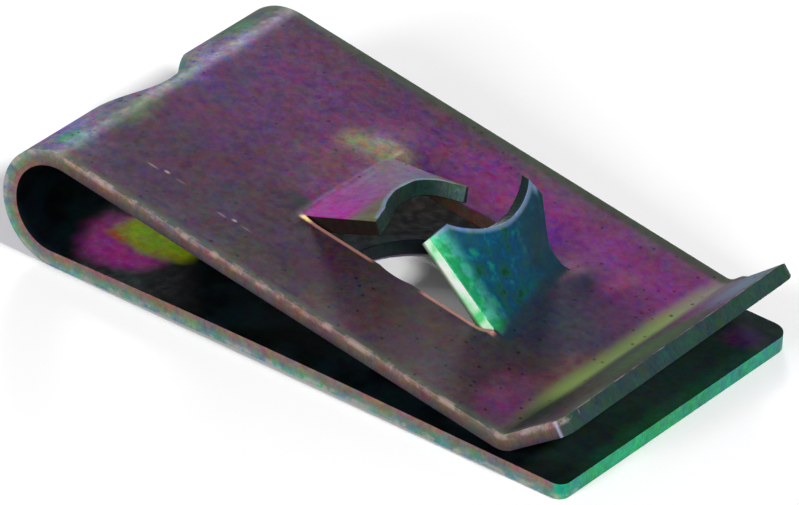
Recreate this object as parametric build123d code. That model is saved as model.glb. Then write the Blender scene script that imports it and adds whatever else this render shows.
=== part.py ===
from build123d import *
from math import copysign, cos, pi, radians, sin, tan
import os

# A U-shaped speed nut, folded from one strip of spring steel. The screw comes up through the clearance hole in the
# lower leg and bites on the two prongs of the upper leg.
# The screw's axis is Z. X runs along the clip, from the bend to the mouth, and Y across it. The clip rests on Z = 0.

# Strip
gauge = 0.6
clip_width = 13.0

# Lower leg, from the free end to the bend: a flat toe, then a slight bow that comes back down at the bend
hole_to_end = 11.0
hole_to_bend = 11.26
toe_flat = 8.2
toe_rise = 0.64
toe_corner = 0.7
screw_hole_radius = 3.2

# Bend, with its radii measured outside: a tighter heel, then the crown
heel_radius = 2.17
heel_turn = 74.2
crown_radius = 2.40
window_radius = 3.0

# Upper leg, from the bend to the crease at the mouth
upper_leg = 19.10
upper_slope = 9.22
crease_radius = 0.5
crease_turn = 43.6

# Lip
lip_length = 2.77
lip_corner = 0.35

# Thread impression, in the plane of the upper leg
impression_to_crease = 7.60
slit_to_low_root = 4.0
slit_to_high_root = 4.3
slit_half_spacing = 2.47
slit_gap = 0.10
pierced_radius = 2.56

# Low prong, towards the bend. Its bend line and reach are set at both sides, -Y first, and its lifts at even steps
# between them. Lengths along a prong start from its bend line.
low_near_line = 4.1
low_far_line = 4.1
low_bend_radius = 1.5
low_lifts = (28.0, 30.0, 30.0, 25.0, 15.0)
low_near_reach = 3.25
low_far_reach = 3.25
low_rim_radius = 2.9
low_rim_centre = 4.89
low_rim_offset = 0.75

# High prong, towards the crease
high_near_line = 4.6
high_far_line = 3.1
high_bend_radius = 2.2
high_lifts = (31.0, 37.0, 44.0, 53.0, 64.0)
high_near_reach = 4.25
high_far_reach = 3.35
high_rim_radius = 2.1
high_rim_centre = 4.88
high_rim_offset = 0.25

# Finish of the cutting: points along the window's edge, and how far a cutter runs clear of the sheet
window_points = 24
clear = 1.0
seat = 0.05


def walk(start, heading, stretches, shift):
    """Edges of one face of a strip. A stretch is a length, or a bend as (radius of the left face, turn to the left)."""
    edges = []
    for stretch in stretches:
        if isinstance(stretch, tuple):
            radius, turn = stretch
            way = (cos(radians(heading)), sin(radians(heading)))
            edges.append(JernArc(start, way, radius + copysign(shift, turn), turn))
            heading += turn
        else:
            edges.append(PolarLine(start, stretch, heading))
        start = edges[-1] @ 1
    return edges


def strip_side(start, heading, stretches):
    """Side view of a strip whose left face sets out from `start`: the edges of that face, and the whole as a face."""
    left = walk(start, heading, stretches, 0)
    to_right = Vector(sin(radians(heading)), -cos(radians(heading))) * gauge
    right = walk(left[0] @ 0 + to_right, heading, stretches, gauge)
    first_end = Line(left[0] @ 0, right[0] @ 0)
    last_end = Line(left[-1] @ 1, right[-1] @ 1)
    return left, make_face([*left, *right, first_end, last_end])


def folded_strip():
    """The strip with its folds and rounded corners, and nothing pierced yet. Also the edges of its outer face."""
    bow_length = hole_to_end + hole_to_bend - toe_flat
    bow_turn = 2 * toe_rise * (1 + toe_flat / bow_length)
    bow_radius = bow_length / radians(bow_turn)
    crown_turn = 180 + upper_slope + bow_turn - toe_rise - heel_turn
    stretches = [
        toe_flat,
        (bow_radius, bow_turn),
        (heel_radius, -heel_turn),
        (crown_radius, -crown_turn),
        upper_leg,
        (crease_radius, crease_turn),
        lip_length,
    ]
    outer, side = strip_side((hole_to_end, 0), 180 - toe_rise, stretches)
    strip = extrude(Plane.XZ * side, amount=clip_width / 2, both=True)
    ends = strip.faces().filter_by(lambda face: abs(face.area - gauge * clip_width) < 1e-3)
    toe_end, lip_end = ends.sort_by(Axis.Z)
    strip = fillet(corner_edges(toe_end), toe_corner)
    lip_end = strip.faces().filter_by(lambda face: abs(face.area - gauge * clip_width) < 1e-3).sort_by(Axis.Z)[-1]
    strip = fillet(corner_edges(lip_end), lip_corner)
    return outer, strip


def corner_edges(end_face):
    """The two edges of an end face that run through the sheet."""
    return end_face.edges().sort_by(SortBy.LENGTH)[:2]


def bend_window(outer):
    """Cutter for the round hole of the blank that the bend wraps round, centred on the bend's outermost line."""
    axis = outer[3].arc_center
    radius = crown_radius - gauge / 2
    turns = [2 * pi * k / window_points for k in range(window_points)]
    seen_along_x = [(window_radius * cos(a), radius * sin(window_radius / radius * sin(a))) for a in turns]
    front = Plane.YZ * make_face(Spline(*seen_along_x, periodic=True))
    wall = Rot(90, 0, 0) * Cylinder(radius, clip_width)
    wall_face = wall.faces().filter_by(GeomType.CYLINDER)[0]
    patch = (wall_face & extrude(front, amount=-crown_radius - clear)).faces()[0]
    return Pos(axis.X, 0, axis.Y) * thicken(patch, amount=gauge, both=True)


def screw_hole():
    """Cutter for the clearance hole of the lower leg."""
    return Cylinder(screw_hole_radius, 2 * (gauge + clear))


def bend_tangent(bend_radius, lift):
    """From a prong's bend line to either end of its bend."""
    return bend_radius * tan(radians(lift) / 2)


def prong(near_line, far_line, bend_radius, lifts, near_reach, far_reach, rim_radius, rim_centre, rim_offset):
    """One prong in the upper leg's plane, rooted on +X, and the place of its root.

    Its rim is an arc, pierced square to the prong.
    """
    steps = len(lifts) - 1
    lines = [near_line + (far_line - near_line) * k / steps for k in range(steps + 1)]
    reaches = [near_reach + (far_reach - near_reach) * k / steps for k in range(steps + 1)]
    tangents = [bend_tangent(bend_radius, lift) for lift in lifts]
    root = max(line + tangent for line, tangent in zip(lines, tangents)) + seat
    half_width = slit_half_spacing - slit_gap
    sections = []
    for k, (line, tangent, lift, reach) in enumerate(zip(lines, tangents, lifts, reaches)):
        stretches = [root + clear - line - tangent, (bend_radius + gauge, -lift), reach - tangent]
        section = strip_side((root + clear, -gauge), 180, stretches)[1]
        across = half_width * (2 * k / steps - 1)
        sections.append(Plane((0, across, 0), x_dir=(1, 0, 0), z_dir=(0, -1, 0)) * section)
    body = loft(sections) - Pos(root + clear, 0, 0) * Box(2 * clear, clip_width, 4 * gauge)
    mean_line = sum(lines) / len(lines)
    mean_lift = sum(lifts) / len(lifts)
    rim = Pos(mean_line, rim_offset, 0) * Rot(0, mean_lift, 0) * Pos(-rim_centre, 0, 0)
    return body - rim * Cylinder(rim_radius, 6 * gauge), root


def impression(outer):
    """The opening and the two prongs of the thread impression, placed on the upper leg."""
    leg = outer[4]
    centre = leg @ 1 - (leg % 1) * impression_to_crease
    along = Vector((leg % 1).X, 0, (leg % 1).Y)
    leg_plane = Plane((centre.X, 0, centre.Y), x_dir=along, z_dir=along.cross(Vector(0, 1, 0)))

    low, low_root = prong(
        low_near_line, low_far_line, low_bend_radius, low_lifts,
        low_near_reach, low_far_reach, low_rim_radius, low_rim_centre, low_rim_offset,
    )
    high, high_root = prong(
        high_near_line, high_far_line, high_bend_radius, high_lifts,
        high_near_reach, high_far_reach, high_rim_radius, high_rim_centre, high_rim_offset,
    )
    depth = 2 * gauge + clear
    slits = span(-slit_to_low_root, slit_to_high_root, 2 * slit_half_spacing, depth)
    roots = span(-low_root, high_root, 2 * (slit_half_spacing - slit_gap), depth)
    opening = slits + roots + Cylinder(pierced_radius, depth)
    return leg_plane * opening, leg_plane * mirror(low, about=Plane.YZ), leg_plane * high


def span(start, end, width, depth):
    """A block between two places along X."""
    return Pos((start + end) / 2, 0, 0) * Box(end - start, width, depth)


def speed_nut():
    outer, strip = folded_strip()
    opening, low_prong, high_prong = impression(outer)
    pierced = strip - bend_window(outer) - screw_hole() - opening
    return pierced + low_prong + high_prong


clip = speed_nut()
os.makedirs("parts", exist_ok=True)
export_step(clip, "parts/clip.step")
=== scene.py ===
from math import acos, asin, ceil, cos, degrees, exp, pi, radians, sin, sqrt, tan
from typing import NamedTuple
import bmesh
import bpy
from mathutils import Matrix, Vector, kdtree


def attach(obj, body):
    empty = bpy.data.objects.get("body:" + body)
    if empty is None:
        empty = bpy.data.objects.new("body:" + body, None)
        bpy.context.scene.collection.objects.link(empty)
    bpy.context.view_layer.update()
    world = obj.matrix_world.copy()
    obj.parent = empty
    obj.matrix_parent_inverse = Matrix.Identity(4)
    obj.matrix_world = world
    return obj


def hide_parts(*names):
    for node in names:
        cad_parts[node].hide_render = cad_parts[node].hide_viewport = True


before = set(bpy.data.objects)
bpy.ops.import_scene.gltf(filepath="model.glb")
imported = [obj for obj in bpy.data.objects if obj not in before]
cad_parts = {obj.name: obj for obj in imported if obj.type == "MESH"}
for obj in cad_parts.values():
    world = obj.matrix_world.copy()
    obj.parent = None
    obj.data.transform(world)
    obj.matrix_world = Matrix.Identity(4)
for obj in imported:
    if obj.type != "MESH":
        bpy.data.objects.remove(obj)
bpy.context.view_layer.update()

# The sheet is drawn flat, cut into a net, and then folded. Its sizes are in millimetres and its places are those of
# the flat blank, from the toe along the outer face. They turn into metres as the blank is folded.
MM = 0.001

# Sheet
GAUGE = 0.6
HALF_WIDTH = 6.5
TOE_CORNERS = (0.42, 0.7)
LIP_CORNER = 0.45
OUTLINE_ROUNDING = 0.11
PIERCED_ROUNDING = 0.05

# The outer face of the strip, from the toe to the lip, as (length, turn to the left in degrees)
HOLE_TO_END = 11.0
TOE_RISE = 0.64
HEEL_RADIUS = 2.17
CROWN_RADIUS = 2.40
CREASE_RADIUS = 0.5
STRETCHES = [
    (8.2, 0.0),
    (14.06, 2.026),
    (HEEL_RADIUS * radians(74.2), -74.2),
    (CROWN_RADIUS * radians(116.4), -116.4),
    (19.10, 0.0),
    (CREASE_RADIUS * radians(43.6), 43.6),
    (2.77, 0.0),
]
CREASE_STRETCH = 5
LENGTH = sum(length for length, turn in STRETCHES)
CROWN = sum(length for length, turn in STRETCHES[:3])
LEG = sum(length for length, turn in STRETCHES[:4])
CREASE = LEG + STRETCHES[4][0]

# The crease turns further towards +Y, and the lip's +Y end is worn thinner
LIP_TWIST = 2.0
WORN_WIDTH = 0.6
WORN_SHARE = 0.45

# Screw hole, and window in the bend, with how far round the crown its centre lies
SCREW_HOLE_RADIUS = 3.2
WINDOW_RADIUS = 3.0
WINDOW_TURN = 17.2

# Thread impression. The prongs' +Y edge stands a little further out at the ends of the slit.
IMPRESSION = CREASE - 7.60
SLIT_Y = 2.47
PRONG_Y = 2.39
FAR_EDGE_SPREAD = 0.04
PIERCED_RADIUS = 2.56
SLIT_MIDDLE = SLIT_Y - 0.025

# How far from the impression's centre the press formed the leg, and how fast what it drew up fades away from a slit,
# on its -Y and its +Y side, and beyond the slit's end
FORMED_X = 7
FORMED_Y = 5
FADE = (0.35, 0.7)
END_FADE = 0.3

# Soft swellings of the leg: place along it and across it, size along and across, height
SWELLS = [
    (-4.2, 2.6, 1.3, 1.2, 0.12),
    (4.7, 2.8, 1.1, 1.0, 0.08),
]

# The net: the longest step and the largest turn between two rows, how many strips lie side by side, and the finer
# step around the impression
ROW_STEP = 0.45
ROW_TURN = 5
STRIPS = 30
FINE_STEP = 0.15
FINE_X = (IMPRESSION - 6.0, IMPRESSION + 6.6)
FINE_Y = (-3.5, 3.5)
FINE_MARGIN = 0.2

# Arcs of an outline are drawn in steps of this length and this turn at most, and what is closer than TOUCH is one
ARC_STEP = 0.12
ARC_TURN = 9
TOUCH = 0.002


class Prong(NamedTuple):
    """A tongue raised out of the upper leg. Places along it are measured away from the impression's centre.

    Bend line and lift differ from its -Y side to its +Y side. Its rim is a straight end on the -Y side, a wide arc, a
    tight arc from the crest on, and a horn that runs to the corner of the +Y side.
    """

    side: int         # 1 towards the lip, -1 towards the bend
    slit_ends: tuple  # where the slits end, at -Y and +Y
    lines: tuple      # bend line, at -Y and +Y
    radii: tuple      # radius of the bend, at -Y and +Y
    lifts: tuple      # lift in degrees, at even steps from -Y to +Y
    end: tuple        # the rim at its -Y corner, and where the wide arc starts
    arcs: tuple       # radius of the wide arc and of the tight arc
    crest: tuple      # where the arcs meet, along the prong and across it
    turn: float       # turn of the tight arc
    horn: tuple       # corner of the horn, along the prong and across it

    def section(self, y):
        """Where the bend starts, its radius and its lift, at a place across the prong."""
        share = min(max((y + PRONG_Y) / (2 * PRONG_Y), 0), 1)
        place = share * (len(self.lifts) - 1)
        k = min(int(place), len(self.lifts) - 2)
        lift = self.lifts[k] + (self.lifts[k + 1] - self.lifts[k]) * (place - k)
        line = self.lines[0] + (self.lines[1] - self.lines[0]) * share
        radius = self.radii[0] + (self.radii[1] - self.radii[0]) * share
        return line + radius * tan(radians(lift) / 2), radius, radians(lift)

    def rise(self, own, y):
        """Where a place of the blank stands once the prong is formed: along the leg, and above it."""
        root, radius, lift = self.section(y)
        run = root - own
        if run <= 0:
            return own, 0.0
        bent = min(run / radius, lift)
        ramp = max(run - radius * lift, 0)
        along = root - radius * sin(bent) - ramp * cos(lift)
        return along, radius * (1 - cos(bent)) + ramp * sin(lift)


LOW = Prong(
    side=-1, slit_ends=(4.0, 4.0), lines=(4.1, 4.1), radii=(1.5, 1.5), lifts=(28, 30, 30, 25, 15),
    end=(0.92, 1.25), arcs=(4.5, 0.9), crest=(2.14, 1.25), turn=85, horn=(0.72, 2.30),
)
HIGH = Prong(
    side=1, slit_ends=(4.2, 3.8), lines=(4.6, 3.0), radii=(2.2, 1.4), lifts=(31, 37, 44, 53, 70),
    end=(0.42, 0.30), arcs=(3.1, 1.35), crest=(1.18, 0.66), turn=80, horn=(0.74, 2.39),
)


class Pen:
    """Draws an outline in the plane of the blank."""

    def __init__(self, bm, x, y):
        self.bm = bm
        self.first = self.last = bm.verts.new((x, y, 0))

    def line(self, x, y):
        made = bmesh.ops.extrude_vert_indiv(self.bm, verts=[self.last])
        self.last = made["verts"][0]
        self.last.co = (x, y, 0)

    def arc(self, x, y, turn):
        """Turns about a centre, by an angle in degrees."""
        reach = (self.last.co - Vector((x, y, 0))).length
        steps = max(ceil(radians(abs(turn)) * reach / ARC_STEP), ceil(abs(turn) / ARC_TURN))
        made = bmesh.ops.spin(
            self.bm, geom=[self.last], cent=(x, y, 0), axis=(0, 0, 1), angle=radians(turn), steps=steps,
            use_duplicate=False,
        )
        self.last = next(g for g in made["geom_last"] if isinstance(g, bmesh.types.BMVert))

    def close(self):
        if (self.last.co - self.first.co).length < TOUCH:
            bmesh.ops.pointmerge(self.bm, verts=[self.last, self.first], merge_co=self.first.co)
        else:
            self.bm.edges.new((self.last, self.first))


def draw_strip(bm):
    near, far = TOE_CORNERS
    lip, side = LIP_CORNER, HALF_WIDTH
    pen = Pen(bm, 0, -side + near)
    pen.arc(near, -side + near, 90)
    pen.line(LENGTH - lip, -side)
    pen.arc(LENGTH - lip, -side + lip, 90)
    pen.line(LENGTH, side - lip)
    pen.arc(LENGTH - lip, side - lip, 90)
    pen.line(far, side)
    pen.arc(far, side - far, 90)
    pen.close()


def draw_circle(bm, x, radius, stretch=1.0):
    """A round hole. A stretch along the strip makes up for what the bend shortens."""
    place = Matrix.Translation((x, 0, 0)) @ Matrix.Diagonal((stretch, 1, 1, 1))
    bmesh.ops.create_circle(bm, cap_ends=False, radius=radius, segments=120, matrix=place)


def draw_rim(pen, prong):
    """The free end of a prong: the high one is drawn from its -Y side, the low one from its +Y side."""
    centre, side = IMPRESSION, prong.side
    wide, tight = prong.arcs
    crest, crest_y = prong.crest
    horn, horn_y = prong.horn
    corner, start = prong.end
    wide_turn = degrees(acos(1 - (crest - start) / wide))
    wide_x, tight_x = centre + side * (crest - wide), centre + side * (crest - tight)
    if side > 0:
        pen.line(centre + side * corner, -PRONG_Y)
        pen.line(centre + side * start, crest_y - wide * sin(radians(wide_turn)))
        pen.arc(wide_x, crest_y, wide_turn)
        pen.arc(tight_x, crest_y, prong.turn)
        pen.line(centre + side * horn, horn_y)
    else:
        tip_x = crest - tight * (1 - cos(radians(prong.turn)))
        tip_y = crest_y + tight * sin(radians(prong.turn))
        pen.line(centre + side * horn, PRONG_Y)
        pen.line(centre + side * horn, horn_y)
        pen.line(centre + side * tip_x, tip_y)
        pen.arc(tight_x, crest_y, prong.turn)
        pen.arc(wide_x, crest_y, wide_turn)
        pen.line(centre + side * corner, -PRONG_Y)


def draw_impression(bm):
    """Both slits, the bites of the pierced hole and the rims of both prongs, as one closed line."""
    x = IMPRESSION
    bite = sqrt(PIERCED_RADIUS**2 - SLIT_Y**2)
    bite_turn = 2 * degrees(asin(bite / PIERCED_RADIUS))
    low_ends, high_ends = LOW.slit_ends, HIGH.slit_ends
    pen = Pen(bm, x - low_ends[0], -SLIT_Y)
    pen.line(x - bite, -SLIT_Y)
    pen.arc(x, 0, bite_turn)
    pen.line(x + high_ends[0], -SLIT_Y)
    pen.line(x + high_ends[0], -PRONG_Y)
    draw_rim(pen, HIGH)
    pen.line(x + high_ends[1], PRONG_Y + FAR_EDGE_SPREAD)
    pen.line(x + high_ends[1], SLIT_Y)
    pen.line(x + bite, SLIT_Y)
    pen.arc(x, 0, bite_turn)
    pen.line(x - low_ends[1], SLIT_Y)
    pen.line(x - low_ends[1], PRONG_Y + FAR_EDGE_SPREAD)
    draw_rim(pen, LOW)
    pen.line(x - low_ends[0], -PRONG_Y)
    pen.close()


def cut_across(bm, axis, place, faces=None):
    """Cuts the blank along a plane, at a place on the X or the Y axis: all of it, or some of its faces."""
    if faces is None:
        geom = bm.verts[:] + bm.edges[:] + bm.faces[:]
    else:
        verts = dict.fromkeys(v for f in faces for v in f.verts)
        edges = dict.fromkeys(e for f in faces for e in f.edges)
        geom = [*verts, *edges, *faces]
    normal = Vector((1, 0, 0)) if axis == "X" else Vector((0, 1, 0))
    bmesh.ops.bisect_plane(bm, geom=geom, dist=TOUCH, plane_co=normal * place, plane_no=normal)


def cut_finely(bm, axis, ends):
    """Cuts the part of the blank around the impression at close, even steps."""
    low, high = FINE_X[0] - FINE_MARGIN, FINE_X[1] + FINE_MARGIN
    reach = FINE_Y[1] + FINE_MARGIN
    start, end = ends
    count = max(ceil((end - start) / FINE_STEP), 1)
    for k in range(count + 1):
        faces = []
        for face in bm.faces:
            middle = face.calc_center_median()
            if low < middle.x < high and abs(middle.y) < reach:
                faces.append(face)
        cut_across(bm, axis, start + (end - start) * k / count, faces)


def at_outline(co):
    """True along the outline of the strip, False at its holes and slits."""
    return abs(co.y) > HALF_WIDTH - 1 or co.x < 1 or co.x > LENGTH - 1


def round_edges(bm, outline, rounding, segments):
    """Rounds the level edges of the outline, or those of what is pierced."""
    sharp = []
    for edge in bm.edges:
        first, last = edge.verts
        level = abs(first.co.z - last.co.z) < 0.01
        if level and edge.calc_face_angle(0) > radians(35) and at_outline((first.co + last.co) / 2) == outline:
            sharp.append(edge)
    bmesh.ops.bevel(
        bm, geom=sharp, offset=rounding, offset_type="OFFSET", segments=segments, profile=0.5, affect="EDGES",
        material=-1, clamp_overlap=True, loop_slide=False,
    )


def blank():
    """The flat blank: pierced, slit, its sheared edges slightly rounded, cut into a net fine enough to fold."""
    bm = bmesh.new()
    draw_strip(bm)
    draw_circle(bm, HOLE_TO_END, SCREW_HOLE_RADIUS)
    window = CROWN + CROWN_RADIUS * radians(WINDOW_TURN)
    draw_circle(bm, window, WINDOW_RADIUS, CROWN_RADIUS / (CROWN_RADIUS - GAUGE / 2))
    draw_impression(bm)
    bmesh.ops.triangle_fill(bm, use_beauty=True, edges=bm.edges[:], normal=(0, 0, 1))
    made = bmesh.ops.extrude_face_region(bm, geom=bm.faces[:] + bm.edges[:], use_keep_orig=True)
    lower = [g for g in made["geom"] if isinstance(g, bmesh.types.BMVert)]
    bmesh.ops.translate(bm, verts=lower, vec=(0, 0, -GAUGE))
    bmesh.ops.recalc_face_normals(bm, faces=bm.faces[:])
    round_edges(bm, True, OUTLINE_ROUNDING, 3)
    round_edges(bm, False, PIERCED_ROUNDING, 2)
    # Rows across the strip, close together in the bends
    start = 0.0
    for length, turn in STRETCHES:
        step = min(ROW_STEP, length / max(abs(turn) / ROW_TURN, 1))
        count = max(ceil(length / step), 1)
        for k in range(count):
            if start + length * k / count > 0.01:
                cut_across(bm, "X", start + length * k / count)
        start += length
    for k in range(1, STRIPS):
        cut_across(bm, "Y", -HALF_WIDTH + 2 * HALF_WIDTH * k / STRIPS)
    cut_finely(bm, "X", FINE_X)
    cut_finely(bm, "Y", FINE_Y)
    bmesh.ops.triangulate(bm, faces=bm.faces[:])
    return bm


def fold(s, y):
    """The outer face at a place along the strip: where it is in X and Z, and its heading in radians."""
    x, z, heading = HOLE_TO_END, 0.0, pi - radians(TOE_RISE)
    for k, (length, turn) in enumerate(STRETCHES):
        if k == CREASE_STRETCH:
            turn += LIP_TWIST * (1 + y / HALF_WIDTH)
        part = s if k == len(STRETCHES) - 1 else min(max(s, 0), length)
        share = radians(turn) * part / length
        if abs(share) > 1e-9:
            radius = part / share
            x += radius * (sin(heading + share) - sin(heading))
            z -= radius * (cos(heading + share) - cos(heading))
        else:
            x += part * cos(heading)
            z += part * sin(heading)
        heading += share
        s -= length
        if s <= 0:
            break
    return x, z, heading


def swell(x, y):
    """Where the press drew the leg up softly around the prongs."""
    height = 0.0
    for centre_x, centre_y, size_x, size_y, amount in SWELLS:
        height += amount * exp(-(((x - centre_x) / size_x) ** 2) - ((y - centre_y) / size_y) ** 2)
    return height


def surface(s, y, on_prong):
    """The outer face of the finished clip over a place of the blank, in millimetres."""
    x = s - IMPRESSION
    lift = 0.0
    if abs(x) < FORMED_X and abs(y) < FORMED_Y:
        prong = LOW if x < 0 else HIGH
        own = x * prong.side
        if on_prong:
            own, lift = prong.rise(own, y)
        else:
            # Past a slit the leg follows the prong's side, less and less
            far = y > 0
            slit_end = prong.slit_ends[far]
            along, lift = prong.rise(max(own, slit_end), PRONG_Y if far else -PRONG_Y)
            share = exp(-(((abs(y) - PRONG_Y) / FADE[far]) ** 2))
            if own < slit_end:
                share *= exp(-(((slit_end - own) / END_FADE) ** 2))
            own += (along - max(own, slit_end)) * share
            lift *= share
        lift += swell(x, y)
        s = IMPRESSION + own * prong.side
    fold_x, fold_z, heading = fold(s, y)
    outward = heading + pi / 2
    return Vector((fold_x + lift * cos(outward), y, fold_z + lift * sin(outward)))


def formed(place, on_prong):
    """A place of the blank, with its depth under the outer face, on the finished clip, and its three directions."""
    s, y, depth = place
    step = 0.01
    spot = surface(s, y, on_prong)
    along = (surface(s + step, y, on_prong) - surface(s - step, y, on_prong)).normalized()
    across = (surface(s, y + step, on_prong) - surface(s, y - step, on_prong)).normalized()
    out = along.cross(across).normalized()
    spot += out * depth
    spot.y = min(max(spot.y, -HALF_WIDTH), HALF_WIDTH)
    spot.z = max(spot.z, 0)
    return spot, along, across, out


def prong_turn(x, y):
    """How far a place on a prong is turned out of the leg, in radians: above 0 on the high one, below on the low."""
    prong = LOW if x < 0 else HIGH
    root, radius, lift = prong.section(y)
    return min(max((root - x * prong.side) / radius, 0), lift) * prong.side


def flat_normal(vert):
    """The normal of the blank with its rounded edges, with the flat faces and the upright walls kept flat."""
    for face in vert.link_faces:
        if abs(face.normal.z) > 0.99:
            return Vector((0, 0, 1 if face.normal.z > 0 else -1))
    walls = [f for f in vert.link_faces if abs(f.normal.z) < 0.02]
    total = Vector()
    for face in walls or vert.link_faces:
        total += face.normal * face.calc_area()
    return total.normalized()


def worn(s, y, depth):
    """The depth under the outer face, less at the lip's worn end."""
    if s <= CREASE + 1 or y <= HALF_WIDTH - WORN_WIDTH:
        return depth
    middle = -GAUGE / 2
    return middle + (depth + GAUGE / 2) * (1 - WORN_SHARE * ((y - HALF_WIDTH + WORN_WIDTH) / WORN_WIDTH) ** 2)


def clip_sheet():
    """The folded sheet. Its points keep their place in the blank, their distance to an edge and their prong's turn."""
    bm = blank()
    bm.normal_update()
    place_layer = bm.verts.layers.float_vector.new("blank")
    edge_layer = bm.verts.layers.float.new("edge")
    turn_layer = bm.verts.layers.float.new("turn")
    for face in bm.faces:
        face.smooth = True
        face.material_index = 1 if abs(face.normal.z) < 0.3 else 0
    normals = [flat_normal(v) for v in bm.verts]
    walls = [v.co.copy() for v, n in zip(bm.verts, normals) if abs(n.z) < 0.9]
    border = kdtree.KDTree(len(walls))
    for k, co in enumerate(walls):
        border.insert((co.x, co.y, 0), k)
    border.balance()
    turned = []
    for vert, normal in zip(bm.verts, normals):
        s, y, depth = vert.co
        x = s - IMPRESSION
        on_prong = abs(y) < SLIT_MIDDLE and abs(x) < FORMED_X
        vert[place_layer] = (s, y, depth)
        vert[edge_layer] = border.find((s, y, 0))[2]
        vert[turn_layer] = prong_turn(x, y) if on_prong else 0.0
        spot, along, across, out = formed((s, y, worn(s, y, depth)), on_prong)
        vert.co = spot * MM
        turned.append((along * normal.x + across * normal.y + out * normal.z).normalized())
    mesh = bpy.data.meshes.new("clip_sheet")
    bm.to_mesh(mesh)
    bm.free()
    mesh.normals_split_custom_set_from_vertices(turned)
    piece = bpy.data.objects.new("clip_sheet", mesh)
    bpy.context.scene.collection.objects.link(piece)
    return piece


class Nodes:
    """A node tree under construction."""

    def __init__(self, tree):
        self.tree = tree

    def add(self, kind, *values, **settings):
        """A node, its settings, and its inputs in order: a socket is linked, a value is set, None is left."""
        made = self.tree.nodes.new(kind)
        for name, value in settings.items():
            setattr(made, name, value)
        for socket, value in zip(made.inputs, values):
            self.feed(socket, value)
        return made

    def feed(self, socket, value):
        if isinstance(value, bpy.types.NodeSocket):
            self.tree.links.new(value, socket)
        elif value is not None:
            socket.default_value = value

    def math(self, operation, *values):
        return self.add("ShaderNodeMath", *values, operation=operation).outputs[0]

    def vector(self, operation, *values):
        return self.add("ShaderNodeVectorMath", *values, operation=operation).outputs[0]

    def split(self, vector):
        return self.add("ShaderNodeSeparateXYZ", vector).outputs

    def attribute(self, name, output):
        return self.add("ShaderNodeAttribute", attribute_name=name).outputs[output]

    def times(self, first, *others):
        for other in others:
            first = self.math("MULTIPLY", first, other)
        return first

    def moved(self, place, drift, reach):
        return self.vector("ADD", place, self.vector("MULTIPLY", drift, reach))

    def away(self, value, centre):
        """How far a value is from a centre, on either side."""
        return self.math("ABSOLUTE", self.math("SUBTRACT", value, centre))

    def within(self, value, centre, inner, outer):
        """1 within the inner distance from a centre, fading to 0 at the outer one."""
        return self.scale(self.away(value, centre), outer, inner)

    def scale(self, value, low, high, to_low=0.0, to_high=1.0, smooth=True):
        kind = "SMOOTHSTEP" if smooth else "LINEAR"
        made = self.add("ShaderNodeMapRange", value, low, high, to_low, to_high, interpolation_type=kind)
        return made.outputs[0]

    def mix(self, share, first, second, blend="MIX"):
        made = self.add("ShaderNodeMix", data_type="RGBA", blend_type=blend)
        self.feed(made.inputs["Factor"], share)
        self.feed(made.inputs["A"], first)
        self.feed(made.inputs["B"], second)
        return made.outputs["Result"]

    def tint(self, colour, share, code):
        return self.mix(share, colour, rgb(code))

    def ramp(self, value, stops):
        made = self.add("ShaderNodeValToRGB", value)
        ramp = made.color_ramp
        while len(ramp.elements) < len(stops):
            ramp.elements.new(0.5)
        for element, (place, colour) in zip(ramp.elements, stops):
            element.position, element.color = place, colour
        return made.outputs[0]

    def tints(self, value, stops):
        return self.ramp(value, [(place, rgb(code)) for place, code in stops])

    def noise(self, place, scale, detail=2.0, roughness=0.5, stretch=None):
        if stretch:
            place = self.vector("MULTIPLY", place, stretch)
        made = self.add("ShaderNodeTexNoise", noise_dimensions="3D")
        self.feed(made.inputs["Vector"], place)
        made.inputs["Scale"].default_value = scale
        made.inputs["Detail"].default_value = detail
        made.inputs["Roughness"].default_value = roughness
        return made.outputs

    def use(self, group, **values):
        made = self.add("ShaderNodeGroup", node_tree=group)
        for name, value in values.items():
            self.feed(made.inputs[name], value)
        return made.outputs[0]

    def relief(self, shader, height, strength, distance):
        bump = self.add("ShaderNodeBump")
        bump.inputs["Strength"].default_value = strength
        bump.inputs["Distance"].default_value = distance
        self.feed(bump.inputs["Height"], height)
        self.feed(shader.inputs["Normal"], bump.outputs[0])


def rgb(code):
    """A colour as it should look on screen, from its hex code."""
    parts = [int(code[k:k + 2], 16) / 255 for k in (0, 2, 4)]
    return tuple(p / 12.92 if p < 0.04045 else ((p + 0.055) / 1.055) ** 2.4 for p in parts) + (1.0,)


COLOUR, VECTOR, VALUE = "NodeSocketColor", "NodeSocketVector", "NodeSocketFloat"


def effect(name, output, kind, **inputs):
    """A shader node group with its sockets, as (group, nodes, inputs by name, output socket to feed)."""
    tree = bpy.data.node_groups.new(name, "ShaderNodeTree")
    for title, socket_type in inputs.items():
        tree.interface.new_socket(title, in_out="INPUT", socket_type=socket_type)
    tree.interface.new_socket(output, in_out="OUTPUT", socket_type=kind)
    start = tree.nodes.new("NodeGroupInput")
    end = tree.nodes.new("NodeGroupOutput")
    return tree, Nodes(tree), start.outputs, end.inputs[0]


def patch_effect():
    """Lays a soft tint over a colour within an oval of the blank."""
    tree, n, given, out = effect(
        "tint_patch", "Colour", COLOUR,
        Colour=COLOUR, Place=VECTOR, Centre=VECTOR, Size=VECTOR, Tint=COLOUR, Amount=VALUE, Core=VALUE,
    )
    offset = n.vector("DIVIDE", n.vector("SUBTRACT", given["Place"], given["Centre"]), given["Size"])
    reach = n.add("ShaderNodeVectorMath", offset, operation="LENGTH").outputs["Value"]
    share = n.times(n.scale(reach, given["Core"], 1.25, 1.0, 0.0), given["Amount"])
    n.feed(out, n.mix(share, given["Colour"], given["Tint"]))
    return tree


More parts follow.
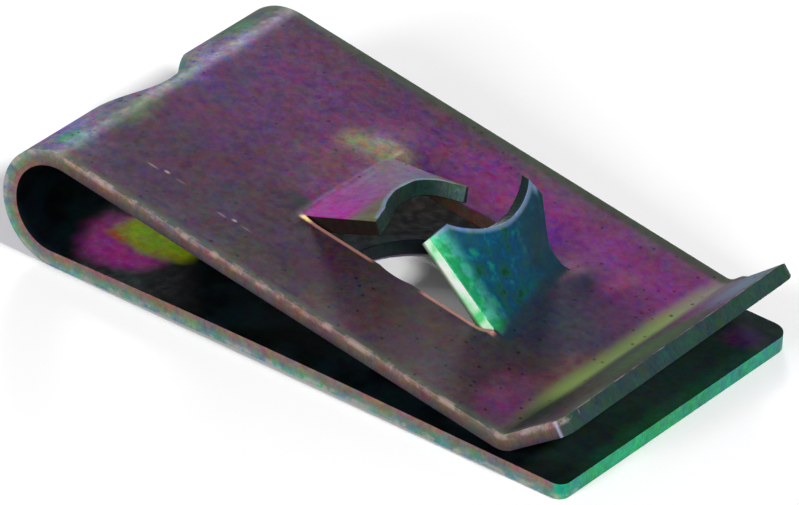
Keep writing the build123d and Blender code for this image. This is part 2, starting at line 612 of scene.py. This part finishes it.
def mottle_effect():
    """The uneven, blotchy depth of the chromate: darker and lighter places, and shifts of hue."""
    tree, n, given, out = effect(
        "chromate_mottle", "Colour", COLOUR, Colour=COLOUR, Place=VECTOR, Strength=VALUE,
    )
    colour = given["Colour"]
    for scale, detail, strength in ((0.7, 2.0, 1.5), (3.2, 3.0, 2.4), (9.0, 2.0, 1.2)):
        shift = n.vector("SUBTRACT", n.noise(given["Place"], scale, detail, 0.6)["Color"], (0.5, 0.5, 0.5))
        shift = n.vector("MULTIPLY", shift, n.times(given["Strength"], strength))
        colour = n.mix(1.0, colour, n.vector("ADD", shift, (1.0, 1.0, 1.0)), "MULTIPLY")
    lit = n.add("ShaderNodeHueSaturation")
    lit.inputs["Saturation"].default_value = 1.15
    lit.inputs["Value"].default_value = 0.8
    n.feed(lit.inputs["Color"], colour)
    n.feed(out, lit.outputs[0])
    return tree


def pits_effect():
    """Fine pits where the film is missing."""
    tree, n, given, out = effect("pits", "Mask", VALUE, Place=VECTOR)
    cells = n.add("ShaderNodeTexVoronoi", feature="F1")
    n.feed(cells.inputs["Vector"], given["Place"])
    cells.inputs["Scale"].default_value = 2.6
    chance = n.scale(n.add("ShaderNodeSeparateColor", cells.outputs["Color"]).outputs[0], 0.62, 0.64)
    small = n.scale(cells.outputs["Distance"], 0.10, 0.24, 1.0, 0.0)
    n.feed(out, n.times(chance, small))
    return tree


def wear_and_sheen_effect():
    """A broken bright line where handling has rubbed a sheared edge: worn plating with a painted highlight along it."""
    tree, n, given, out = effect("rubbed_edge_and_sheen", "Mask", VALUE, Place=VECTOR, Edge=VALUE, Width=VALUE)
    near = n.math("SUBTRACT", 1.0, n.math("DIVIDE", given["Edge"], given["Width"]))
    line = n.scale(near, 0.0, 0.6)
    broken = n.scale(n.noise(given["Place"], 1.6, 4.0, 0.7)[0], 0.44, 0.62)
    n.feed(out, n.times(line, broken))
    return tree


PATCH = patch_effect()
MOTTLE = mottle_effect()
PITS = pits_effect()
WEAR_AND_SHEEN = wear_and_sheen_effect()


def finish(name, roughness, metallic):
    """A new material, as (material, nodes, shader, place in the blank).

    The plain roughness and metallic values serve where the nodes that are fed in later can't be read.
    """
    made = bpy.data.materials.new(name)
    made.use_nodes = True
    n = Nodes(made.node_tree)
    shader = made.node_tree.nodes["Principled BSDF"]
    shader.inputs["Metallic"].default_value = metallic
    shader.inputs["Roughness"].default_value = roughness
    return made, n, shader, n.attribute("blank", "Vector")


def lay_patches(n, colour, place, patches, core=0.15):
    for (s, y), (long, wide), code, amount in patches:
        colour = n.use(
            PATCH, Colour=colour, Place=place, Centre=(LEG + s, y, -0.3), Size=(long, wide, 50),
            Tint=rgb(code), Amount=amount, Core=core,
        )
    return colour


# Tints of the film, with painted highlights and painted shade among them, as (place along the strip from the leg's
# start and place across it, size, colour, strength).
# First the upper leg:
LEG_PATCHES = [
    # Painted highlight on the swelling beside the low prong
    ((6.6, 0.4), (2.4, 2.0), "7a5668", 0.75),
    ((6.0, -2.6), (1.4, 1.2), "4c3634", 0.6),
    ((8.4, -0.9), (1.3, 1.7), "a04c94", 0.95),
    # Painted highlights on the swelling, towards its +Y side
    ((6.9, 2.3), (1.6, 1.1), "948f70", 0.9),
    ((7.9, 1.3), (1.3, 0.9), "8c8c8c", 0.8),
    ((9.0, 1.1), (0.8, 1.2), "6f7c8c", 0.8),
    ((9.9, -1.9), (0.7, 0.6), "6c6a50", 0.9),
    ((6.95, -2.0), (0.9, 0.8), "26382f", 0.9),
    ((10.0, 4.3), (3.6, 1.5), "75396e", 0.8),
    ((13.3, 3.6), (1.5, 0.9), "5c3377", 0.8),
    ((13.2, 2.8), (1.3, 0.6), "2b3953", 0.9),
    # Beside the high prong's root: painted shade, and painted highlights in a soft ring
    ((16.0, -0.4), (2.0, 3.4), "28323a", 0.9),
    ((15.3, 2.0), (0.7, 1.0), "7a6a70", 0.7),
    ((15.9, 2.1), (0.8, 0.9), "20283e", 0.9),
    ((17.0, 3.3), (0.6, 1.2), "8a6070", 0.5),
    ((18.3, -4.6), (0.9, 1.6), "704e62", 0.6),
    ((18.7, -2.0), (0.6, 2.6), "5e4a44", 0.6),
]
# Short light scratches along the leg, and a painted highlight (glint) at the end of the -Y slit
SCRATCHES_AND_GLINT = [
    ((2.20, -4.42), (0.30, 0.06), "8e7c82", 0.7),
    ((2.75, -4.30), (0.14, 0.07), "b4a0a0", 0.8),
    ((3.40, -4.34), (0.25, 0.05), "84727a", 0.5),
    ((5.50, -4.66), (0.25, 0.06), "8e7c82", 0.6),
    ((6.00, -4.56), (0.13, 0.07), "b4a0a0", 0.8),
    ((6.55, -4.60), (0.30, 0.05), "84727a", 0.5),
    ((7.55, -2.56), (0.28, 0.1), "ffe890", 1.0),
]
# The bend
BEND_PATCHES = [
    ((-0.7, -5.2), (0.9, 0.8), "5c9480", 0.9),
    ((-0.4, -2.4), (0.8, 1.8), "566c44", 0.9),
    ((-2.0, -4.3), (1.0, 1.3), "8681b0", 0.8),
    ((-0.6, 0.6), (0.6, 1.4), "4c6a58", 0.8),
    ((-1.7, 4.9), (1.5, 1.7), "4e7460", 0.9),
    ((-0.7, 3.3), (0.9, 0.9), "76668e", 0.8),
]
# The crease, with a painted yellow-green highlight along it, and the lip
LIP_PATCHES = [
    ((19.3, -2.4), (0.62, 3.8), "6a8242", 0.8),
    ((19.3, 2.6), (0.62, 4.0), "6c8444", 0.8),
    ((19.6, 5.2), (0.8, 2.2), "76706e", 0.8),
    ((20.0, -4.9), (1.4, 2.0), "2c3430", 0.9),
    ((21.1, 0.0), (1.5, 3.8), "405a38", 0.9),
    ((21.3, 5.2), (1.5, 2.6), "607c8a", 0.9),
    ((21.9, -4.4), (0.7, 2.0), "485448", 0.7),
]
# A painted highlight at the lip's -Y corner
LIP_GLINT = [((21.92, -6.4), (0.08, 0.25), "a8b6dc", 0.5)]
# The inner face: a painted pool of the light that falls through the window near the bend, and plain tints by the toe
# and under the impression
WINDOW_LIGHT_POOL = [
    ((-9.2, -4.3), (2.0, 1.6), "a4448e", 1.0),
    ((-8.8, -4.1), (0.8, 0.5), "a87048", 0.9),
    ((-10.0, -3.5), (1.7, 0.95), "98ac18", 1.0),
]
INNER_PATCHES = [
    ((-28.6, 0.0), (2.4, 7.0), "26342f", 0.8),
    ((-15.6, 4.2), (1.3, 0.8), "3c2a22", 0.9),
    ((-29.8, 0.5), (0.6, 6.6), "284a38", 0.75),
    ((-28.9, 5.0), (0.9, 0.8), "40284c", 0.8),
]

# Tints across the leg from -Y to +Y, at its bend side and at its mouth side
BEND_SIDE = [
    (0.0, "544c50"), (0.09, "4a3a4c"), (0.25, "4c364c"), (0.42, "573856"),
    (0.60, "5d3b62"), (0.80, "653d61"), (0.93, "5c3c58"), (1.0, "4a4448"),
]
MOUTH_SIDE = [
    (0.0, "4c4846"), (0.12, "433b3c"), (0.22, "3f3836"), (0.36, "37363a"), (0.55, "3a3542"),
    (0.70, "583556"), (0.82, "6e3e6c"), (0.92, "683e62"), (1.0, "525250"),
]
# Streaks of the bend, and clouds of the high prong
STREAKS = [(0.30, "5c7a72"), (0.42, "7a789a"), (0.52, "8a80a6"), (0.62, "70907e"), (0.74, "6c6a98")]
CLOUDS = [(0.32, "1c4636"), (0.42, "225a54"), (0.50, "28506c"), (0.58, "245c78"), (0.68, "348468")]
# The sheared edge through its thickness, from the inner face to the outer one, on the lower leg and the upper one
LOWER_EDGE = [(0.0, "8e6a6a"), (0.25, "7c6c64"), (0.5, "6c7a6c"), (0.75, "68887e"), (1.0, "6c9496")]
UPPER_EDGE = [(0.0, "30262e"), (0.25, "4c3e44"), (0.5, "5c4c3e"), (0.75, "745c5a"), (1.0, "927874")]
# Colours of the painted highlight on the high prong's -Y wall
WALL_GLINT = [(0.36, "5ae088"), (0.46, "c8ffd4"), (0.56, "ffffff"), (0.68, "dcfaa4")]
# Worn plating with a painted highlight along the rubbed edges
RUBBED_SHEEN = "a8988f"

# Casts that multiply the leg's colour, near the mouth and all over
MOUTH_CAST = (1.5, 1.4, 1.5, 1)
FILM_CAST = (0.90, 0.77, 0.91, 1)
# The burr along the -Y slit, with worn plating and a painted highlight, by its distance from the strip's middle and the
# middle of its length
BURR_Y = -2.54
BURR_X = IMPRESSION + 0.1


def prong_tints(n, colour, place, straight, turn):
    """Lays the prongs' own colours over the leg's."""
    # High prong: painted shade in slate at its root, then teal with green and blue clouds, lime towards its -Y edge
    clouds = n.noise(place, 1.5, 4.0, 0.6)[0]
    lime = n.mix(n.scale(clouds, 0.4, 0.6), rgb("46a870"), rgb("6cc8a8"))
    teal = n.mix(n.scale(straight["Y"], -1.3, -2.35), n.tints(clouds, CLOUDS), lime)
    teal = n.tint(teal, n.scale(straight["Y"], 0.4, 1.6, 0.0, 0.85), "26404c")
    high = n.mix(n.scale(turn, 0.25, 0.50), rgb("2c3c4a"), teal)
    colour = n.mix(n.scale(turn, 0.02, 0.22), colour, high)
    # Low prong: magenta, paler towards its +Y side and olive at its rim
    low = n.mix(n.scale(straight["Y"], -2.3, 1.5), rgb("a4549a"), rgb("7c7086"))
    low = n.tint(low, n.scale(straight["X"], IMPRESSION - 2.6, IMPRESSION - 1.6), "6c6a54")
    return n.mix(n.scale(turn, -0.03, -0.30, 0.0, 0.9), colour, low)


def leg_tints(n, place, straight, drift):
    """The leg's colours: purple and olive, with a bend of pale lavender streaked with green and blue."""
    moved = n.moved(place, drift, (2.6, 2.0, 0.0))
    parts = n.split(moved)
    across = n.scale(parts["Y"], -HALF_WIDTH, HALF_WIDTH, smooth=False)
    to_mouth = n.scale(parts["X"], LEG + 4.5, LEG + 12.0)
    colour = n.mix(to_mouth, n.tints(across, BEND_SIDE), n.tints(across, MOUTH_SIDE))
    bend = n.tints(n.noise(place, 1.0, 3.0, 0.6, stretch=(3.2, 0.35, 1.0))[0], STREAKS)
    bend = n.tint(bend, n.scale(straight["Y"], 2.6, 5.6, 0.0, 0.8), "3e5446")
    colour = n.mix(n.scale(parts["X"], LEG + 0.5, LEG - 1.4), colour, bend)
    colour = lay_patches(n, colour, moved, LEG_PATCHES)
    lighter = n.mix(1.0, colour, MOUTH_CAST, "MULTIPLY")
    colour = n.mix(n.scale(parts["X"], LEG + 8.0, LEG + 12.0), colour, lighter)
    colour = lay_patches(n, colour, place, BEND_PATCHES)
    return n.mix(1.0, colour, FILM_CAST, "MULTIPLY")


def inner_tints(n, place, drift, clouds):
    """The inner face: a dark teal that is painted shade between the legs, with a painted pool of window light near the
    bend.
    """
    inner = n.mix(n.scale(clouds, 0.4, 0.6), rgb("090f10"), rgb("162226"))
    inner = lay_patches(n, inner, n.moved(place, drift, (1.8, 1.4, 0.0)), WINDOW_LIGHT_POOL, core=0.65)
    inner = lay_patches(n, inner, place, INNER_PATCHES)
    return n.use(MOTTLE, Colour=inner, Place=place, Strength=0.6)


def sheet_finish():
    made, n, shader, place = finish("chromated_sheet", 0.36, 0.35)
    edge = n.attribute("edge", "Fac")
    turn = n.attribute("turn", "Fac")
    straight = n.split(place)
    steepness = n.away(turn, 0.0)
    wander = n.noise(place, 0.5, 2.0)
    drift = n.vector("SUBTRACT", wander["Color"], (0.5, 0.5, 0.5))
    colour = leg_tints(n, place, straight, drift)
    colour = prong_tints(n, colour, place, straight, turn)
    # A painted pale blue highlight along the rims of the prongs
    rim = n.times(n.scale(edge, 0.22, 0.05), n.scale(steepness, 0.15, 0.35), n.within(straight["Y"], 0.0, 2.15, 2.25))
    colour = n.tint(colour, n.times(rim, 0.6), "8fa4c4")
    # The mottling is weaker on the prongs and towards the mouth, and the lip's tints lie over it
    blotches = n.scale(steepness, 0.05, 0.3, 1.0, 0.5)
    blotches = n.times(blotches, n.scale(straight["X"], LEG + 7.0, LEG + 13.0, 1.0, 0.6))
    colour = n.use(MOTTLE, Colour=colour, Place=place, Strength=blotches)
    colour = lay_patches(n, colour, place, LIP_PATCHES)
    # A green-grey band along the long edges and the window, and a darker one along the +Y edge
    band = n.times(n.scale(edge, 0.42, 0.12), n.scale(n.away(straight["Y"], 0.0), 2.9, 4.0))
    colour = n.tint(colour, n.times(band, 0.55), "50604e")
    far_band = n.times(n.scale(straight["Y"], 5.9, 6.25), n.scale(straight["X"], LEG + 1.0, LEG + 3.0))
    colour = n.tint(colour, n.times(far_band, 0.75), "34402e")
    pits = n.times(n.use(PITS, Place=place), n.scale(steepness, 0.45, 0.25))
    colour = n.tint(colour, n.times(pits, 0.7), "120f12")
    # Burr along the -Y slit, on the leg's side, worn off in the middle: worn plating and a painted highlight along the
    # edge
    burr_and_sheen = n.times(
        n.within(straight["Y"], BURR_Y, 0.05, 0.13), n.within(straight["X"], BURR_X, 4.1, 4.35),
        n.scale(straight["Z"], -0.3, -0.2), n.scale(turn, 0.02, 0.0),
    )
    burr_and_sheen = n.times(burr_and_sheen, n.scale(n.away(straight["X"], BURR_X), 0.9, 1.3))
    colour = n.tint(colour, burr_and_sheen, "ac7a6e")
    # Rubbed edge with a painted highlight, along the -Y side and round the lip
    rubbed_sheen = n.use(WEAR_AND_SHEEN, Place=place, Edge=edge, Width=0.16)
    outline = n.math("MAXIMUM", n.scale(straight["Y"], -5.5, -5.6), n.scale(straight["X"], CREASE, CREASE + 0.1))
    colour = n.tint(colour, n.times(rubbed_sheen, outline, 0.7), RUBBED_SHEEN)
    # Scratches, and a painted highlight at the end of the -Y slit
    colour = lay_patches(n, colour, place, SCRATCHES_AND_GLINT)
    # The inner face between the legs takes its painted shade and its painted pool of window light
    under = n.scale(straight["Z"], -0.25, -0.35)
    colour = n.mix(under, colour, inner_tints(n, place, drift, wander[0]))
    n.feed(shader.inputs["Base Color"], colour)
    # The film is duller on the inner face, the low prong, the lip and the bend
    dull = n.math("MAXIMUM", under, n.scale(turn, -0.02, -0.2))
    dull = n.math("MAXIMUM", dull, n.scale(straight["X"], CREASE - 0.5, CREASE))
    dull = n.math("MAXIMUM", dull, n.scale(straight["X"], LEG, LEG - 1.0, 0.0, 0.8))
    n.feed(shader.inputs["Metallic"], n.scale(dull, 0.0, 1.0, 0.35, 0.0))
    n.feed(shader.inputs["Specular IOR Level"], n.scale(dull, 0.0, 1.0, 0.2, 0.02))
    rough = n.scale(n.noise(place, 3.0, 4.0, 0.6)[0], 0.3, 0.7, 0.32, 0.50)
    n.feed(shader.inputs["Roughness"], n.math("ADD", rough, n.times(dull, 0.2)))
    grain = n.noise(place, 14.0, 3.0, 0.6)[0]
    waves = n.noise(place, 0.9, 2.0, 0.5)[0]
    height = n.math("ADD", n.times(grain, 0.10), n.times(waves, 0.55))
    height = n.math("SUBTRACT", height, n.times(pits, 0.10))
    n.relief(shader, height, 0.2, 0.0001)
    return made


def cut_finish():
    """The sheared edge, whose colours run through its thickness."""
    made, n, shader, place = finish("chromated_sheared_edge", 0.42, 0.4)
    shader.inputs["Specular IOR Level"].default_value = 0.25
    parts = n.split(place)
    depth = n.scale(parts["Z"], -GAUGE, 0.0, smooth=False)
    drawn = n.noise(place, 1.0, 4.0, 0.65, stretch=(0.7, 0.7, 3.0))[0]
    shifted = n.math("ADD", depth, n.times(n.math("SUBTRACT", drawn, 0.5), 0.5))
    to_upper = n.scale(parts["X"], LEG - 4.2, LEG + 1.0)
    colour = n.mix(to_upper, n.tints(shifted, LOWER_EDGE), n.tints(shifted, UPPER_EDGE))
    # Lime stains on the lower leg, a green toe and a dark lip
    lime = n.times(n.scale(n.noise(place, 0.33, 2.0)[0], 0.55, 0.68), n.scale(parts["X"], LEG - 6.0, LEG - 8.0))
    colour = n.tint(colour, n.times(lime, 0.6), "70845a")
    colour = n.tint(colour, n.scale(parts["X"], 0.5, 0.2), "3c9c78")
    colour = n.tint(colour, n.scale(parts["X"], LENGTH - 0.4, LENGTH - 0.15), "2b4440")
    # Screw hole and impression: painted shade darkens their walls, with the +Y slit brown, deeper painted shade on the
    # low prong's -Y side, and a painted highlight on the high prong's -Y side
    pierced = n.times(n.within(parts["Y"], 0.0, 2.8, 3.0), n.within(parts["X"], IMPRESSION, 5.0, 5.2))
    colour = n.tint(colour, pierced, "263a36")
    hole = n.times(n.within(parts["X"], HOLE_TO_END, 3.4, 3.5), n.within(parts["Y"], 0.0, 3.4, 3.5))
    colour = n.tint(colour, hole, "142224")
    colour = n.tint(colour, n.times(pierced, n.scale(parts["Y"], 2.40, 2.46)), "5c4438")
    prong_side = n.scale(parts["Y"], -2.30, -2.37)
    low_side = n.times(pierced, prong_side, n.scale(parts["X"], IMPRESSION - 0.7, IMPRESSION - 0.9))
    colour = n.tint(colour, low_side, "241d1a")
    colour = n.use(MOTTLE, Colour=colour, Place=place, Strength=0.7)
    # Painted highlight on the high prong's -Y wall, darker green towards the inner face
    bright = n.times(
        prong_side, n.scale(parts["Y"], -2.45, -2.42), n.scale(parts["X"], IMPRESSION + 0.2, IMPRESSION + 0.5), pierced,
    )
    wall_glint = n.tints(n.noise(place, 0.9, 2.0)[0], WALL_GLINT)
    wall_glint = n.tint(wall_glint, n.scale(parts["Z"], -0.36, -0.54, 0.0, 0.9), "3c5a2c")
    colour = n.mix(bright, colour, wall_glint)
    # Rubbed edge with a painted highlight along the -Y side
    rubbed_sheen = n.use(WEAR_AND_SHEEN, Place=place, Edge=n.times(parts["Z"], -1.0), Width=0.26)
    colour = n.tint(colour, n.times(rubbed_sheen, n.scale(parts["Y"], -5.5, -5.6), 0.6), RUBBED_SHEEN)
    # A painted highlight at the lip's -Y corner
    colour = lay_patches(n, colour, place, LIP_GLINT)
    n.feed(shader.inputs["Base Color"], colour)
    n.feed(shader.inputs["Metallic"], n.scale(bright, 0.0, 1.0, 0.3, 0.0))
    n.feed(shader.inputs["Roughness"], n.scale(n.noise(place, 6.0, 4.0, 0.6)[0], 0.3, 0.7, 0.32, 0.55))
    lines = n.noise(place, 7.0, 3.0, 0.6, stretch=(2.5, 2.5, 0.3))[0]
    n.relief(shader, lines, 0.4, 0.00005)
    return made


# Camera: where it looks from, the point of the clip that the view turns about, and the shift of the picture's middle
CAMERA_TURN, CAMERA_RISE, CAMERA_ROLL = radians(36.94), radians(31.77), radians(2.5)
CAMERA_DISTANCE = 323
CAMERA_LENS = 423.2
VIEW_CENTRE = (-1.664, 0, 3.9)
VIEW_SHIFT = (0.371, -2.019)

# Area lamps, aimed at the clip: name, place and size in metres, energy. The key stands over the mouth, the front lamp
# faces the -Y side, and the window is low beyond the bend.
LAMPS = [
    ("key", (0.272, -0.01, 0.290), 0.05, 1.3),
    ("front", (-0.03, -0.33, 0.155), 0.12, 0.85),
    ("window", (-0.155, 0.184, 0.070), 0.05, 0.25),
]
SKY = [(0.0, (1, 1, 1, 1)), (0.25, (0.85, 0.87, 0.9, 1)), (1.0, (0.42, 0.40, 0.44, 1))]
SKY_STRENGTH = 0.3
WHITE = (1, 1, 1, 1)
FLOOR_HALF_SIZE = 3.0
FLOOR_CLEARANCE = 0.00002


def camera():
    """Looks down on the mouth's near corner through a long lens."""
    turn, rise, roll = CAMERA_TURN, CAMERA_RISE, CAMERA_ROLL
    right = Vector((cos(turn), sin(turn), 0))
    toward = Vector((sin(turn) * cos(rise), -cos(turn) * cos(rise), sin(rise)))
    up = toward.cross(right)
    rolled_right = cos(roll) * right + sin(roll) * up
    rolled_up = cos(roll) * up - sin(roll) * right
    centre = Vector(VIEW_CENTRE) * MM
    place = centre + toward * CAMERA_DISTANCE * MM
    look_at = centre + (VIEW_SHIFT[0] * rolled_right + VIEW_SHIFT[1] * rolled_up) * MM
    back = (place - look_at).normalized()
    side = rolled_up.cross(back).normalized()
    data = bpy.data.cameras.new("camera")
    data.lens = CAMERA_LENS
    data.sensor_width = 36
    data.clip_start = 0.01
    seat = bpy.data.objects.new("camera", data)
    bpy.context.scene.collection.objects.link(seat)
    turned = Matrix((side, back.cross(side), back)).transposed().to_4x4()
    seat.matrix_world = Matrix.Translation(place) @ turned
    bpy.context.scene.camera = seat


def sky():
    """Soft light from all round, weaker from above, and plain white where the sky itself is seen."""
    world = bpy.data.worlds.new("studio")
    bpy.context.scene.world = world
    world.use_nodes = True
    n = Nodes(world.node_tree)
    soft = world.node_tree.nodes["Background"]
    facing = n.split(n.add("ShaderNodeTexCoord").outputs["Generated"])
    rise = n.scale(facing["Z"], -0.1, 0.9, smooth=False)
    n.feed(soft.inputs["Color"], n.ramp(rise, SKY))
    soft.inputs["Strength"].default_value = SKY_STRENGTH
    white = n.add("ShaderNodeBackground", WHITE, 1.0)
    seen = n.add("ShaderNodeLightPath").outputs["Is Camera Ray"]
    mixed = n.add("ShaderNodeMixShader", seen, soft.outputs[0], white.outputs[0])
    n.feed(world.node_tree.nodes["World Output"].inputs["Surface"], mixed.outputs[0])


def light():
    for name, place, size, energy in LAMPS:
        data = bpy.data.lights.new(name, "AREA")
        data.energy, data.size = energy, size
        lamp = bpy.data.objects.new(name, data)
        bpy.context.scene.collection.objects.link(lamp)
        turned = Vector(place).to_track_quat("Z", "Y").to_matrix().to_4x4()
        lamp.matrix_world = Matrix.Translation(place) @ turned


def pale_floor():
    """A plain floor, a hair's breadth under the clip, a touch brighter to the eye than its light makes it."""
    made = bpy.data.materials.new("pale_floor")
    made.use_nodes = True
    n = Nodes(made.node_tree)
    shader = made.node_tree.nodes["Principled BSDF"]
    shader.inputs["Base Color"].default_value = (0.93, 0.93, 0.93, 1)
    shader.inputs["Roughness"].default_value = 0.9
    shader.inputs["Emission Color"].default_value = WHITE
    seen = n.add("ShaderNodeLightPath").outputs["Is Camera Ray"]
    n.feed(shader.inputs["Emission Strength"], n.times(seen, 0.03))
    bm = bmesh.new()
    bmesh.ops.create_grid(bm, x_segments=1, y_segments=1, size=FLOOR_HALF_SIZE)
    bmesh.ops.translate(bm, verts=bm.verts[:], vec=(0, 0, -FLOOR_CLEARANCE))
    mesh = bpy.data.meshes.new("floor")
    bm.to_mesh(mesh)
    bm.free()
    mesh.materials.append(made)
    piece = bpy.data.objects.new("floor", mesh)
    bpy.context.scene.collection.objects.link(piece)
    return piece


camera()
sky()
light()
floor = pale_floor()
clip = clip_sheet()
clip.data.materials.append(sheet_finish())
clip.data.materials.append(cut_finish())
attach(clip, "root")
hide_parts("clip")
bpy.context.scene.view_settings.view_transform = "Standard"
